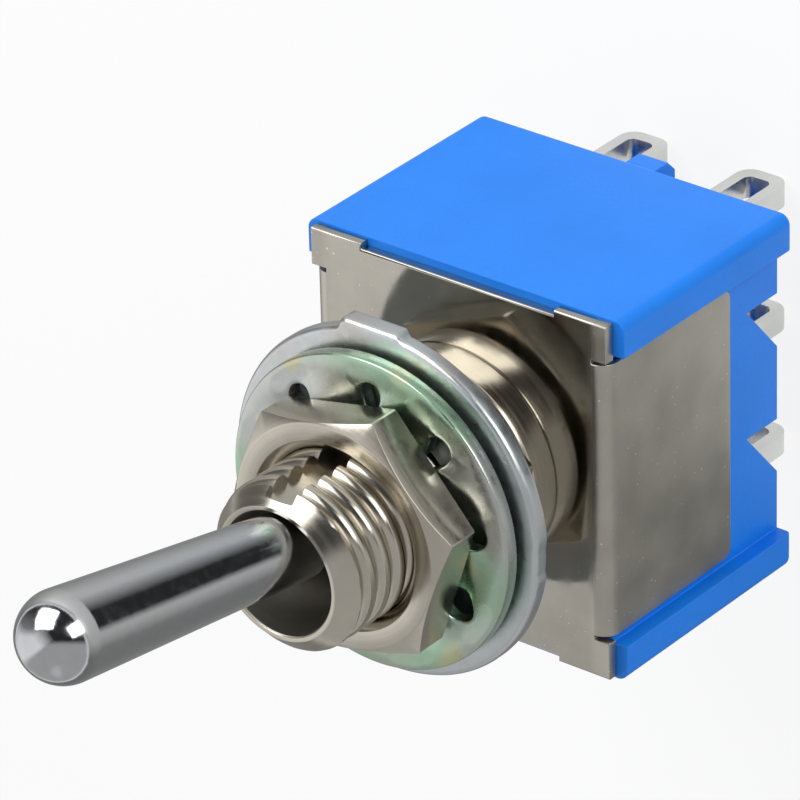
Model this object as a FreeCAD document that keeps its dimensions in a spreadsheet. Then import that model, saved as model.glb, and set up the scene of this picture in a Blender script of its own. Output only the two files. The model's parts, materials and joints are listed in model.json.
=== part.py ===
"""Miniature panel toggle switch, two poles, two throws, with its panel hardware.

Millimetres. The origin is the centre of the frame plate's outer face, where the bushing stands.
+Z runs along the bushing towards the lever's tip, Y is the throw and X runs across the two poles.
At rest the lever leans towards +Y.
"""
import FreeCAD, Part
import math
import os
import re

import Sketcher
from FreeCAD import Placement, Rotation, Vector

# Driving sizes in millimetres and degrees: name, value, what it is
SIZES = (
    ("case_width", "12.75", "case across its flanges, along X"),
    ("case_height", "13.2", "case along the throw, along Y"),
    ("case_depth", "9.2", "case from the back of the frame plate to its rear rim"),
    ("case_edge_radius", "0.4", "rounding of the case's outer long edges"),
    ("case_rear_radius", "0.2", "rounding of the case's rear edges"),
    ("waist_width", "11.6", "case across its side walls between the flanges"),
    ("flange_height", "1.3", "each flange of the case, along Y"),
    ("cavity_width", "8.6", "hollow of the case, along X"),
    ("cavity_height", "10.4", "hollow of the case, along Y"),
    ("bay_room", "0.1", "room in each pole's bay beyond the end terminals, along Y"),
    ("lug_room", "0.25", "room in the rear recess beyond the end terminals, along Y"),
    ("floor_thickness", "1.4", "floor of the case that carries the terminals"),
    ("rim_thickness", "1.0", "wall around the recess behind the floor"),
    ("divider_thickness", "0.8", "wall between the two poles"),
    ("divider_clearance", "0.7", "from the yoke's lowest reach to the divider"),
    ("rib_thickness", "1.2", "barrier rib behind the floor, along X"),
    ("rib_rise", "1.5", "barrier rib beyond the rear rim"),
    ("rib_inset", "0.3", "from the case's ends to the rib's ends"),
    ("rib_chamfer", "0.4", "bevel on the rib's ends"),
    ("notch_depth", "1.7", "saw-tooth notch in a side wall, along Z"),
    ("notch_rise", "1.95", "saw-tooth notch in a side wall, along Y"),
    ("notch_offset", "3.5", "from a terminal to the straight side of its notch"),
    ("plate_width", "11.9", "frame across its two legs"),
    ("plate_height", "13.0", "frame plate along Y"),
    ("plate_thickness", "0.4", "steel sheet of the frame"),
    ("bend_radius", "0.6", "outside of the bend between plate and leg"),
    ("leg_length", "6.75", "frame leg from the plate's outer face to its end"),
    ("leg_height", "10.0", "frame leg along Y"),
    ("leg_corner_radius", "0.4", "rounding of the leg's free corners"),
    ("leg_gap", "0.1", "room around a leg in its pocket of the case"),
    ("bend_relief", "0.15", "slot beside the bend"),
    ("edge_notch_width", "7.8", "shallow step in the plate's long edges"),
    ("edge_notch_depth", "0.2", "depth of that step"),
    ("thread_radius", "2.95", "crest of the bushing's M6 x 0.75 thread"),
    ("bushing_length", "9.5", "bushing from the plate to its mouth"),
    ("bushing_chamfer", "0.6", "bevel at the thread's free end"),
    ("bore_radius", "2.18", "bushing bore at the mouth"),
    ("mouth_chamfer", "0.05", "bevel of the bore's edge"),
    ("collar_radius", "3.95", "round collar at the bushing's base"),
    ("collar_height", "1.25", "that collar along Z"),
    ("shank_radius", "2.75", "bushing through the plate"),
    ("swage_radius", "3.3", "lip swaged behind the plate"),
    ("swage_height", "0.3", "that lip along Z"),
    ("keyway_width", "1.1", "flat-bottomed keyway along the thread"),
    ("keyway_floor", "2.55", "from the axis to the keyway's floor"),
    ("ball_radius", "2.22", "ball that the lever turns on"),
    ("ball_clearance", "0.08", "radial room around the ball in its seat"),
    ("pivot_height", "4.8", "ball centre above the plate's outer face"),
    ("lever_lean", "10.2", "lean of the lever at either end of its throw"),
    ("neck_radius", "0.95", "lever's neck above the ball"),
    ("stem_radius", "1.0", "lever's stem below the ball"),
    ("shoulder_reach", "3.5", "from the ball centre to the handle's shoulder"),
    ("shoulder_radius", "0.2", "rounding of that shoulder"),
    ("handle_root_radius", "1.2", "handle at its shoulder"),
    ("handle_tip_radius", "1.53", "handle at its domed tip"),
    ("handle_reach", "15.1", "from the ball centre to the centre of the tip's dome"),
    ("stem_reach", "8.6", "from the ball centre to the stem's lower end"),
    ("nut_flats", "8.0", "hexagon nut across flats"),
    ("nut_thickness", "1.6", "hexagon nut along Z"),
    ("nut_face_radius", "3.95", "flat ring left by the nut's chamfer"),
    ("nut_chamfer_slope", "30", "degrees of that chamfer"),
    ("nut_countersink", "0.35", "bevel of the nut's threaded hole"),
    ("front_nut_turn", "12", "how far the front nut is turned"),
    ("rear_nut_turn", "22", "how far the rear nut is turned"),
    ("rear_nut_stand", "0.4", "from the collar to the rear nut, as it is turned on the thread"),
    ("thread_clearance", "0.03", "radial room between threads"),
    ("stack_gap", "0.05", "room between the pieces stacked on the bushing"),
    ("ring_radius", "6.15", "locking ring, outside"),
    ("ring_thickness", "0.65", "locking ring along Z"),
    ("ring_edge_radius", "0.2", "rounding of the locking ring's rim"),
    ("ring_clearance", "0.15", "radial room between the thread and the rings"),
    ("key_clearance", "0.12", "room around the locking ring's key"),
    ("tab_width", "2.0", "bent tab on the locking ring"),
    ("tab_offset", "0.5", "tab centre to the -X side of the axis"),
    ("tab_reach", "6.25", "from the axis to the tab's outer face"),
    ("tab_root", "0.7", "overlap of the tab with the ring, inwards from the ring's outer edge"),
    ("tab_thickness", "0.65", "tab along Y"),
    ("tab_drop", "0.15", "tab beyond the ring's rear face"),
    ("washer_radius", "5.55", "tooth washer, outside"),
    ("washer_rim", "0.8", "width of the washer's plain rim"),
    ("washer_thickness", "0.55", "sheet of the tooth washer"),
    ("tooth_count", "9", "inward teeth of the washer"),
    ("tooth_width", "1.9", "each tooth across"),
    ("tooth_twist", "13", "degrees each tooth is twisted about its length"),
    ("tooth_phase", "-12", "degrees from +X to the first tooth's middle"),
    ("column_spacing", "4.8", "between the two poles, along X"),
    ("terminal_pitch", "4.7", "between terminals of a pole, along Y"),
    ("terminal_width", "1.85", "terminal along X"),
    ("terminal_thickness", "0.8", "terminal along Y"),
    ("terminal_fit", "0.02", "room around a terminal in its slot"),
    ("lug_length", "4.3", "terminal beyond the case's rear rim"),
    ("lug_tip_radius", "0.6", "rounding of the lug's free corners"),
    ("eye_width", "1.0", "eye of the lug, along X"),
    ("eye_length", "2.1", "eye of the lug, along Z"),
    ("eye_radius", "0.3", "rounding of the eye's corners"),
    ("eye_margin", "0.5", "metal left beyond the eye"),
    ("shoulder_width", "2.4", "common terminal's shoulder on the floor, along X"),
    ("terminal_head", "0.5", "height of a terminal's head on the floor"),
    ("head_reach", "1.3", "throw terminal's head from the blade's middle inwards"),
    ("rivet_radius", "0.6", "silver contact rivet, head"),
    ("rivet_height", "0.3", "silver contact rivet, head along Z"),
    ("rivet_shank_radius", "0.28", "silver contact rivet, shank"),
    ("rivet_offset", "0.7", "rivet from the blade's middle inwards"),
    ("yoke_width", "7.0", "yoke across both plungers, along X"),
    ("yoke_thickness", "3.0", "yoke along the throw"),
    ("yoke_top", "6.2", "from the ball centre down to the yoke"),
    ("yoke_bottom", "8.9", "from the ball centre to the yoke's lower face"),
    ("yoke_roof", "0.4", "yoke above the plunger bores"),
    ("plunger_radius", "0.68", "plunger and its round nose"),
    ("plunger_clearance", "0.08", "radial room around a plunger"),
    ("plunger_reach", "9.98", "from the ball centre to the plunger's nose"),
    ("plunger_top", "7.9", "from the ball centre to the plunger's shoulder"),
    ("spigot_radius", "0.25", "peg that centres the spring"),
    ("spigot_height", "0.35", "that peg along the lever"),
    ("plunger_gap", "0.1", "plunger nose to rocker with the lever upright"),
    ("spring_wire_radius", "0.1", "wire of the plunger spring"),
    ("spring_coil_radius", "0.46", "plunger spring to the middle of its wire"),
    ("spring_turns", "4", "turns of the plunger spring"),
    ("spring_seat_gap", "0.02", "room at each end of the spring"),
    ("rocker_thickness", "0.45", "contact rocker's strip"),
    ("rocker_width", "1.8", "contact rocker along X"),
    ("rocker_tilt", "5", "degrees the rocker tips to either side"),
    ("rocker_saddle", "0.8", "half of the rocker's flat middle"),
    ("wing_reach", "2.6", "from the middle to where the wing levels out"),
    ("wing_rise", "0.62", "rise of the wing above the middle"),
    ("wing_flat", "0.5", "level stretch at the top of the wing"),
    ("contact_drop", "0.4", "run of the step down to the contact end"),
    ("contact_reach", "4.4", "half length of the rocker"),
    ("fulcrum_gap", "0.05", "rocker to the round top of its fulcrum"),
    ("contact_gap", "0.1", "rocker's contact end to the rivet that it closes"),
)
ALIASES = {row[0] for row in SIZES}

# Places worked out from the driving sizes
CASE_REAR = "(plate_thickness + case_depth)"
COLUMN = "column_spacing / 2"
ROW_END = "(terminal_pitch + terminal_thickness / 2)"
ROCKER_PIVOT = (
    "(pivot_height - plunger_reach - plunger_gap - rocker_thickness"
    " - fulcrum_gap - terminal_thickness / 2)"
)
ROCKER_TOP = "(terminal_thickness / 2 + fulcrum_gap + rocker_thickness)"
CONTACT_Y = "(terminal_pitch - rivet_offset)"
CONTACT_Z = (
    f"({ROCKER_PIVOT} + {ROCKER_TOP} - rocker_thickness"
    f" - {CONTACT_Y} * sin(rocker_tilt * 1 deg) - contact_gap)"
)
HEAD_TOP = f"({CONTACT_Z} - rivet_height)"
FLOOR = f"({HEAD_TOP} - terminal_head)"
LUG_TIP = f"(0 - {CASE_REAR} - lug_length)"
REAR_NUT_SEAT = "(collar_height + rear_nut_stand)"
RING_SEAT = f"({REAR_NUT_SEAT} + nut_thickness + stack_gap)"
TOOTH_HALF_HEIGHT = (
    "(tooth_width / 2 * sin(tooth_twist * 1 deg) + washer_thickness / 2 * cos(tooth_twist * 1 deg))"
)
WASHER_MIDDLE = f"({RING_SEAT} + ring_thickness + stack_gap + {TOOTH_HALF_HEIGHT})"
FRONT_NUT_SEAT = f"({WASHER_MIDDLE} + {TOOTH_HALF_HEIGHT} + stack_gap)"

SIDES = (("left", -1), ("right", 1))

doc = FreeCAD.newDocument("ToggleSwitch")
sheet = doc.addObject("Spreadsheet::Sheet", "Sizes")
for row_number, (alias, value, note) in enumerate(SIZES, start=1):
    sheet.set(f"A{row_number}", alias)
    sheet.set(f"B{row_number}", value)
    sheet.set(f"C{row_number}", note)
    sheet.setAlias(f"B{row_number}", alias)
doc.recompute()

# Reads one expression of the sheet's sizes as a number
gauge = doc.addObject("App::FeaturePython", "Gauge")
gauge.addProperty("App::PropertyFloat", "Reading")

pieces = []


def words(text):
    """An expression with each size's name led by the sheet's name."""
    return re.sub(r"[a-z_]+", lambda m: "Sizes." + m.group() if m.group() in ALIASES else m.group(), text)


def bind(item, **expressions):
    """Tie properties of an object to expressions of the sizes."""
    for prop, text in expressions.items():
        item.setExpression(prop.replace("__", "."), words(text))


def number(text):
    """The present value of an expression of the sizes."""
    gauge.setExpression("Reading", words(text))
    gauge.recompute()
    return gauge.Reading


def place(item, x="0", y="0", z="0", axis=Vector(0, 0, 1), turn="0"):
    """Place an object by expressions: a point and a turn about an axis."""
    item.Placement = Placement(Vector(0, 0, 0), Rotation(axis, 1))
    bind(item, Placement__Base__x=x, Placement__Base__y=y, Placement__Base__z=z)
    bind(item, Placement__Rotation__Angle=f"({turn}) * 1 deg")


def keep(item, label):
    """Name a finished piece; its file takes this name."""
    item.Label = label
    pieces.append(item)
    return item


def box(name, x, y, z, low):
    """A block of size x, y, z with its lowest corner at low, all as expressions."""
    item = doc.addObject("Part::Box", name)
    bind(item, Length=x, Width=y, Height=z)
    bind(item, Placement__Base__x=low[0], Placement__Base__y=low[1], Placement__Base__z=low[2])
    return item


def rod(name, radius, height, base):
    """An upright cylinder standing on the point base, all as expressions."""
    item = doc.addObject("Part::Cylinder", name)
    bind(item, Radius=radius, Height=height)
    bind(item, Placement__Base__x=base[0], Placement__Base__y=base[1], Placement__Base__z=base[2])
    return item


def without(name, base, tools):
    """A piece with several tools cut away."""
    tool = doc.addObject("Part::MultiFuse", name + "_tools")
    tool.Shapes = tools
    item = doc.addObject("Part::Cut", name)
    item.Base = base
    item.Tool = tool
    return item


def new_body(name):
    return doc.addObject("PartDesign::Body", name)


def arc_between(start, end, radius):
    """The lesser arc from start to end; a positive radius turns left. Also says whether it is reversed."""
    left = radius > 0
    first, last = (start, end) if left else (end, start)
    chord = last - first
    half = chord.Length / 2
    size = max(abs(radius), half)
    sagitta = size - math.sqrt(size * size - half * half)
    outward = Vector(chord.y, -chord.x, 0).normalize()
    return Part.Arc(first, (first + last) / 2 + outward * sagitta, last), not left


def fix(sketch, kind, geo, end, text):
    """Hold one coordinate of a sketch point to an expression."""
    name = f"{kind}_{geo}_{end}"
    index = sketch.addConstraint(Sketcher.Constraint(kind, -1, 1, geo, end, number(text)))
    sketch.renameConstraint(index, name)
    sketch.setExpression("Constraints." + name, words(text))


def fix_radius(sketch, geo, text):
    name = f"Radius_{geo}"
    index = sketch.addConstraint(Sketcher.Constraint("Radius", geo, abs(number(text))))
    sketch.renameConstraint(index, name)
    sketch.setExpression("Constraints." + name, words(f"abs({text})"))


def draw(body, name, role, loops, lift="0"):
    """A sketch of closed loops on one of the body's own planes.

    A corner is (x, y), or (x, y, radius) where the edge that leaves it is an arc that turns left,
    or right with a minus sign. A loop may also be ("circle", x, y, radius).
    """
    sketch = body.newObject("Sketcher::SketchObject", name)
    plane = [item for item in body.Origin.OriginFeatures if item.Role == role][0]
    sketch.AttachmentSupport = [(plane, "")]
    sketch.MapMode = "FlatFace"
    sketch.setExpression("AttachmentOffset.Base.z", words(lift))
    for loop in loops:
        if loop[0] == "circle":
            add_circle(sketch, loop)
        else:
            add_loop(sketch, loop)
    return sketch


def add_circle(sketch, loop):
    kind, x, y, radius = loop
    centre = Vector(number(x), number(y), 0)
    geo = sketch.addGeometry(Part.Circle(centre, Vector(0, 0, 1), number(radius)), False)
    fix(sketch, "DistanceX", geo, 3, x)
    fix(sketch, "DistanceY", geo, 3, y)
    fix_radius(sketch, geo, radius)


def add_loop(sketch, corners):
    points = [Vector(number(corner[0]), number(corner[1]), 0) for corner in corners]
    ends = []
    for index, corner in enumerate(corners):
        start, stop = points[index], points[(index + 1) % len(points)]
        if len(corner) == 3:
            curve, backwards = arc_between(start, stop, number(corner[2]))
            geo = sketch.addGeometry(curve, False)
            fix_radius(sketch, geo, corner[2])
            ends.append((geo, 2, 1) if backwards else (geo, 1, 2))
        else:
            geo = sketch.addGeometry(Part.LineSegment(start, stop), False)
            ends.append((geo, 1, 2))
    for index, (geo, first, last) in enumerate(ends):
        following = ends[(index + 1) % len(ends)]
        sketch.addConstraint(Sketcher.Constraint("Coincident", geo, last, following[0], following[1]))
        fix(sketch, "DistanceX", geo, first, corners[index][0])
        fix(sketch, "DistanceY", geo, first, corners[index][1])


def rectangle(x0, x1, y0, y1):
    return ((x0, y0), (x1, y0), (x1, y1), (x0, y1))


def centred(half_x, half_y):
    """A rectangle about the axis, from half its size each way."""
    return rectangle(f"0 - {half_x}", half_x, f"0 - {half_y}", half_y)


def pad(body, sketch, length, side="One side", backwards=False):
    feature = body.newObject("PartDesign::Pad", sketch.Name + "_pad")
    feature.Profile = sketch
    feature.SideType = side
    feature.Reversed = backwards
    bind(feature, Length=length)
    return feature


def pocket(body, sketch, length, side="One side", backwards=False):
    """Cut a sketch away; backwards cuts along the sketch's own normal."""
    feature = body.newObject("PartDesign::Pocket", sketch.Name + "_pocket")
    feature.Profile = sketch
    feature.SideType = side
    feature.Reversed = backwards
    bind(feature, Length=length)
    return feature


def turned(body, sketch, kind="PartDesign::Revolution"):
    """Turn a sketch of the XZ plane about the body's Z axis, to add or to cut away."""
    feature = body.newObject(kind, sketch.Name + "_turned")
    feature.Profile = sketch
    axis = [item for item in body.Origin.OriginFeatures if item.Role == "Z_Axis"][0]
    feature.ReferenceAxis = (axis, [""])
    feature.Angle = 360
    return feature


def round_edges(body, name, radius, wanted):
    """Round those edges of the body's last feature that the test wanted picks out."""
    doc.recompute()
    base = body.Tip
    names = [f"Edge{i}" for i, edge in enumerate(base.Shape.Edges, start=1) if wanted(edge)]
    feature = body.newObject("PartDesign::Fillet", name)
    feature.Base = (base, names)
    bind(feature, Radius=radius)
    return feature


def runs_along(edge, direction):
    """Whether an edge is straight and parallel to a direction."""
    if edge.Curve.TypeId != "Part::GeomLine":
        return False
    return abs(abs(edge.Curve.Direction.dot(direction)) - 1) < 1e-6


def make_case():
    """One moulding: a cup open to the plate, with flanges, leg pockets, floor slots and a barrier rib."""
    body = new_body("Case")
    half_width, half_height = "case_width / 2", "case_height / 2"
    block = draw(body, "case_block", "XY_Plane", [centred(half_width, half_height)], "0 - plate_thickness")
    pad(body, block, "case_depth", backwards=True)
    round_edges(body, "case_long_edges", "case_edge_radius", lambda edge: runs_along(edge, Vector(0, 0, 1)))
    rear = -number(CASE_REAR)
    round_edges(body, "case_rear_edges", "case_rear_radius",
                lambda edge: max(abs(edge.BoundBox.ZMax - rear), abs(edge.BoundBox.ZMin - rear)) < 1e-4)
    waist = "waist_width / 2"
    between = "(case_height / 2 - flange_height)"
    beyond = "case_width"
    cut_sides(body, "case_waist", waist, beyond, between, "case_depth")
    inner_leg = "(plate_width / 2 - bend_radius)"
    cut_sides(body, "case_leg_pocket", inner_leg, beyond, "(leg_height / 2 + leg_gap)",
              "leg_length - plate_thickness + leg_gap")
    hollow_case(body)
    floor_rear = f"({FLOOR} - floor_thickness)"
    inside_x = f"({waist} - rim_thickness)"
    inside_y = f"({ROW_END} + lug_room)"
    recess = draw(body, "case_recess", "XY_Plane", [centred(inside_x, inside_y)], f"0 - {CASE_REAR}")
    pocket(body, recess, f"{CASE_REAR} + {floor_rear}", backwards=True)
    add_rib(body, floor_rear)
    cut_slots(body)
    cut_notches(body, inside_x)
    keep(body, "case")


def cut_sides(body, name, inner, outer, half_height, depth):
    """Cut the same block out of both sides of the case, from its front."""
    loops = [
        rectangle(inner, outer, f"0 - {half_height}", half_height),
        rectangle(f"0 - {outer}", f"0 - {inner}", f"0 - {half_height}", half_height),
    ]
    sketch = draw(body, name, "XY_Plane", loops, "0 - plate_thickness")
    pocket(body, sketch, depth)


def hollow_case(body):
    """A shared upper hollow for the yoke, then one bay for each pole."""
    half_width, half_height = "cavity_width / 2", "cavity_height / 2"
    yoke_reach = "(yoke_bottom * cos(lever_lean * 1 deg) + yoke_thickness / 2 * sin(lever_lean * 1 deg))"
    divider_top = f"(pivot_height - {yoke_reach} - divider_clearance)"
    hollow = centred(half_width, half_height)
    upper = draw(body, "case_upper_hollow", "XY_Plane", [hollow], "0 - plate_thickness")
    pocket(body, upper, f"0 - plate_thickness - {divider_top}")
    half_divider, bay_end = "divider_thickness / 2", f"({ROW_END} + bay_room)"
    loops = [
        rectangle(half_divider, half_width, f"0 - {bay_end}", bay_end),
        rectangle(f"0 - {half_width}", f"0 - {half_divider}", f"0 - {bay_end}", bay_end),
    ]
    bays = draw(body, "case_bays", "XY_Plane", loops, "0 - plate_thickness")
    pocket(body, bays, f"0 - plate_thickness - {FLOOR}")


def add_rib(body, floor_rear):
    """The barrier between the two rows of lugs, seen end on: its ends are bevelled."""
    end = "(case_height / 2 - rib_inset)"
    tip = f"(0 - {CASE_REAR} - rib_rise)"
    corners = (
        (f"0 - {end}", floor_rear),
        (f"0 - {end}", f"{tip} + rib_chamfer"),
        (f"rib_chamfer - {end}", tip),
        (f"{end} - rib_chamfer", tip),
        (end, f"{tip} + rib_chamfer"),
        (end, floor_rear),
    )
    sketch = draw(body, "case_rib", "YZ_Plane", [corners])
    pad(body, sketch, "rib_thickness", side="Symmetric")


def cut_slots(body):
    """Six slots through the floor, one for each terminal."""
    half_x, half_y = "(terminal_width / 2 + terminal_fit)", "(terminal_thickness / 2 + terminal_fit)"
    loops = []
    for side in (-1, 1):
        for place_in_row in (-1, 0, 1):
            x, y = f"{side} * {COLUMN}", f"{place_in_row} * terminal_pitch"
            across = (f"{x} - {half_x}", f"{x} + {half_x}")
            loops.append(rectangle(*across, f"{y} - {half_y}", f"{y} + {half_y}"))
    sketch = draw(body, "case_slots", "XY_Plane", loops, FLOOR)
    pocket(body, sketch, "floor_thickness")


def cut_notches(body, inside_x):
    """Saw-tooth notches in the rear edge of each side wall; the two walls are alike turned half round."""
    for side_name, side in SIDES:
        loops = []
        for terminal_row in (0, -1):
            straight = f"{side} * ({terminal_row} * terminal_pitch + notch_offset)"
            low = f"0 - {CASE_REAR} - 1"
            loops.append((
                (straight, low),
                (straight, f"0 - {CASE_REAR} + notch_depth"),
                (f"{straight} - {side} * notch_rise", f"0 - {CASE_REAR}"),
                (f"{straight} - {side} * notch_rise", low),
            ))
        sketch = draw(body, f"case_notches_{side_name}", "YZ_Plane", loops, f"{side} * {inside_x}")
        pocket(body, sketch, "case_width", backwards=side > 0)


def make_frame():
    """Nickel-plated steel sheet, stamped and bent: a plate with a leg down each side of the case."""
    body = new_body("Frame")
    edge, flat = "plate_width / 2", "(plate_width / 2 - bend_radius)"
    inner = "(plate_width / 2 - plate_thickness)"
    bend, inner_bend = "bend_radius", "(bend_radius - plate_thickness)"
    channel = (
        (f"0 - {edge}", "0 - leg_length"),
        (f"0 - {inner}", "0 - leg_length"),
        (f"0 - {inner}", "0 - bend_radius", f"0 - {inner_bend}"),
        (f"0 - {flat}", "0 - plate_thickness"),
        (flat, "0 - plate_thickness", f"0 - {inner_bend}"),
        (inner, "0 - bend_radius"),
        (inner, "0 - leg_length"),
        (edge, "0 - leg_length"),
        (edge, "0 - bend_radius", bend),
        (flat, "0"),
        (f"0 - {flat}", "0", bend),
        (f"0 - {edge}", "0 - bend_radius"),
    )
    profile = draw(body, "frame_channel", "XZ_Plane", [channel])
    pad(body, profile, "leg_height", side="Symmetric")
    round_edges(body, "frame_leg_corners", "leg_corner_radius", lambda edge: (
        runs_along(edge, Vector(1, 0, 0)) and abs(edge.BoundBox.ZMax + number("leg_length")) < 1e-4))
    outline = draw(body, "frame_plate", "XY_Plane", [plate_outline(edge, flat)])
    pad(body, outline, "plate_thickness", backwards=True)
    hole = draw(body, "frame_hole", "XY_Plane", [("circle", "0", "0", "shank_radius")])
    pocket(body, hole, "plate_thickness")
    keep(body, "frame")


def plate_outline(edge, flat):
    """The plate with its bend reliefs and the shallow step in each long edge."""
    ear = "(leg_height / 2 + bend_relief)"
    end, step = "plate_height / 2", "(plate_height / 2 - edge_notch_depth)"
    notch = "edge_notch_width / 2"
    quarter = ((flat, ear), (edge, ear), (edge, end), (notch, end), (notch, step))
    upper = list(quarter) + [(f"0 - {x}", y) for x, y in reversed(quarter)]
    lower = [(x, f"0 - {y}") for x, y in reversed(upper)]
    return upper + lower


def make_bushing():
    """Turned brass bushing: threaded barrel, round collar, shank through the plate and swaged lip."""
    body = new_body("Bushing")
    seat = "(ball_radius + ball_clearance)"
    rear = "(0 - plate_thickness - swage_height)"
    corners = (
        (seat, rear),
        ("swage_radius", rear),
        ("swage_radius", "0 - plate_thickness"),
        ("shank_radius", "0 - plate_thickness"),
        ("shank_radius", "0"),
        ("collar_radius", "0"),
        ("collar_radius", "collar_height"),
        ("thread_radius", "collar_height"),
        ("thread_radius", "bushing_length - bushing_chamfer"),
        ("thread_radius - bushing_chamfer", "bushing_length"),
        ("bore_radius + mouth_chamfer", "bushing_length"),
        ("bore_radius", "bushing_length - mouth_chamfer"),
        ("bore_radius", f"pivot_height + sqrt({seat}^2 - bore_radius^2)", f"0 - {seat}"),
        (seat, "pivot_height"),
    )
    turned(body, draw(body, "bushing_section", "XZ_Plane", [corners]))
    keyway = draw(body, "bushing_keyway", "XY_Plane", [rectangle(
        "0 - keyway_width / 2", "keyway_width / 2", "keyway_floor", "collar_radius")], "bushing_length")
    pocket(body, keyway, "bushing_length - collar_height")
    keep(body, "bushing")


def lean(body, x="0"):
    """Set a body that is drawn about the ball centre onto the leaning lever."""
    place(body, x, "0", "pivot_height", Vector(1, 0, 0), "0 - lever_lean")


def make_lever():
    """Turned and chromed lever: domed handle, neck, ball and stem, drawn upright about the ball centre."""
    body = new_body("Lever")
    corners = (
        ("0", "0 - stem_reach"),
        ("stem_radius", "0 - stem_reach"),
        ("stem_radius", "0 - sqrt(ball_radius^2 - stem_radius^2)", "ball_radius"),
        ("neck_radius", "sqrt(ball_radius^2 - neck_radius^2)"),
        ("neck_radius", "shoulder_reach"),
        ("handle_root_radius - shoulder_radius", "shoulder_reach", "shoulder_radius"),
        ("handle_root_radius", "shoulder_reach + shoulder_radius"),
        ("handle_tip_radius", "handle_reach", "handle_tip_radius"),
        ("0", "handle_reach + handle_tip_radius"),
    )
    turned(body, draw(body, "lever_section", "XZ_Plane", [corners]))
    lean(body)
    keep(body, "lever")


def make_yoke():
    """Moulded yoke pressed on the stem, with a blind bore for each plunger."""
    block = box("yoke_block", "yoke_width", "yoke_thickness", "yoke_bottom - yoke_top",
                ("0 - yoke_width / 2", "0 - yoke_thickness / 2", "0 - yoke_bottom"))
    tools = [rod("yoke_stem_hole", "stem_radius", "stem_reach - yoke_top + 1",
                 ("0", "0", "0 - stem_reach"))]
    for side_name, side in SIDES:
        tools.append(rod(f"yoke_bore_{side_name}", "plunger_radius + plunger_clearance",
                         "yoke_bottom - yoke_top - yoke_roof + 1",
                         (f"{side} * {COLUMN}", "0", "0 - yoke_bottom - 1")))
    yoke = without("Yoke", block, tools)
    lean(yoke)
    keep(yoke, "yoke")


def make_plunger(side_name, side):
    """Round-nosed plunger that the spring pushes onto the rocker."""
    body = new_body(f"Plunger_{side_name}")
    corners = (
        ("0", "0 - plunger_reach", "plunger_radius"),
        ("plunger_radius", "plunger_radius - plunger_reach"),
        ("plunger_radius", "0 - plunger_top"),
        ("spigot_radius", "0 - plunger_top"),
        ("spigot_radius", "spigot_height - plunger_top"),
        ("0", "spigot_height - plunger_top"),
    )
    turned(body, draw(body, f"plunger_section_{side_name}", "XZ_Plane", [corners]))
    lean(body, f"{side} * {COLUMN}")
    keep(body, f"plunger_{side_name}")


def make_spring(side_name, side):
    """Coil between the plunger's shoulder and the roof of its bore."""
    wire_radius = number("spring_wire_radius")
    coil_radius = number("spring_coil_radius")
    low = number("spring_seat_gap + spring_wire_radius - plunger_top")
    high = number("0 - yoke_top - yoke_roof - spring_seat_gap - spring_wire_radius")
    helix = Part.makeHelix((high - low) / number("spring_turns"), high - low, coil_radius)
    helix.translate(Vector(0, 0, low))
    section = Part.Wire(Part.makeCircle(wire_radius, Vector(coil_radius, 0, low), Vector(0, 1, 0)))
    spring = doc.addObject("Part::Feature", f"PlungerSpring_{side_name}")
    spring.Shape = Part.Wire(helix.Edges).makePipeShell([section], True, True)
    lean(spring, f"{side} * {COLUMN}")
    keep(spring, f"plunger_spring_{side_name}")


def make_nut(name, label, seat, turn):
    """Plated hexagon nut, chamfered and countersunk on its outer face."""
    body = new_body(name)
    corner, flat = "nut_flats / sqrt(3)", "nut_flats / 2"
    hexagon = (
        (corner, "0"),
        (f"{corner} / 2", flat),
        (f"0 - {corner} / 2", flat),
        (f"0 - {corner}", "0"),
        (f"0 - {corner} / 2", f"0 - {flat}"),
        (f"{corner} / 2", f"0 - {flat}"),
    )
    hole = "(thread_radius + thread_clearance)"
    outline = draw(body, f"{label}_outline", "XY_Plane", [hexagon, ("circle", "0", "0", hole)])
    pad(body, outline, "nut_thickness")
    reach = "(nut_flats * 0.7)"
    fall = f"(({reach} - nut_face_radius) * tan(nut_chamfer_slope * 1 deg))"
    bevels = [
        (("nut_face_radius", "nut_thickness"), (reach, f"nut_thickness - {fall}"), (reach, "nut_thickness")),
        ((hole, "nut_thickness"), (hole, "nut_thickness - nut_countersink"),
         (f"{hole} + nut_countersink", "nut_thickness")),
    ]
    turned(body, draw(body, f"{label}_bevels", "XZ_Plane", bevels), "PartDesign::Groove")
    place(body, z=seat, turn=turn)
    keep(body, label)


def make_locking_ring():
    """Stamped ring with a key for the keyway and a short bent tab."""
    body = new_body("LockingRing")
    bore = "(thread_radius + ring_clearance)"
    rim = "(ring_radius - ring_edge_radius)"
    corners = (
        (bore, "0"),
        (rim, "0", "ring_edge_radius"),
        ("ring_radius", "ring_edge_radius"),
        ("ring_radius", "ring_thickness - ring_edge_radius", "ring_edge_radius"),
        (rim, "ring_thickness"),
        (bore, "ring_thickness"),
    )
    turned(body, draw(body, "ring_section", "XZ_Plane", [corners]))
    half_key = "(keyway_width / 2 - key_clearance)"
    key = draw(body, "ring_key", "XY_Plane", [rectangle(
        f"0 - {half_key}", half_key, "keyway_floor + key_clearance", f"{bore} + ring_clearance")])
    pad(body, key, "ring_thickness")
    across = ("0 - tab_offset - tab_width / 2", "tab_width / 2 - tab_offset")
    strip = draw(body, "ring_tab_strip", "XY_Plane", [rectangle(
        *across, "ring_radius - tab_root", "tab_reach")])
    pad(body, strip, "ring_thickness")
    tab = draw(body, "ring_tab", "XY_Plane", [rectangle(
        *across, "tab_reach - tab_thickness", "tab_reach")], "0 - tab_drop")
    pad(body, tab, "ring_thickness + tab_drop")
    place(body, z=RING_SEAT)
    keep(body, "locking_ring")


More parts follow.
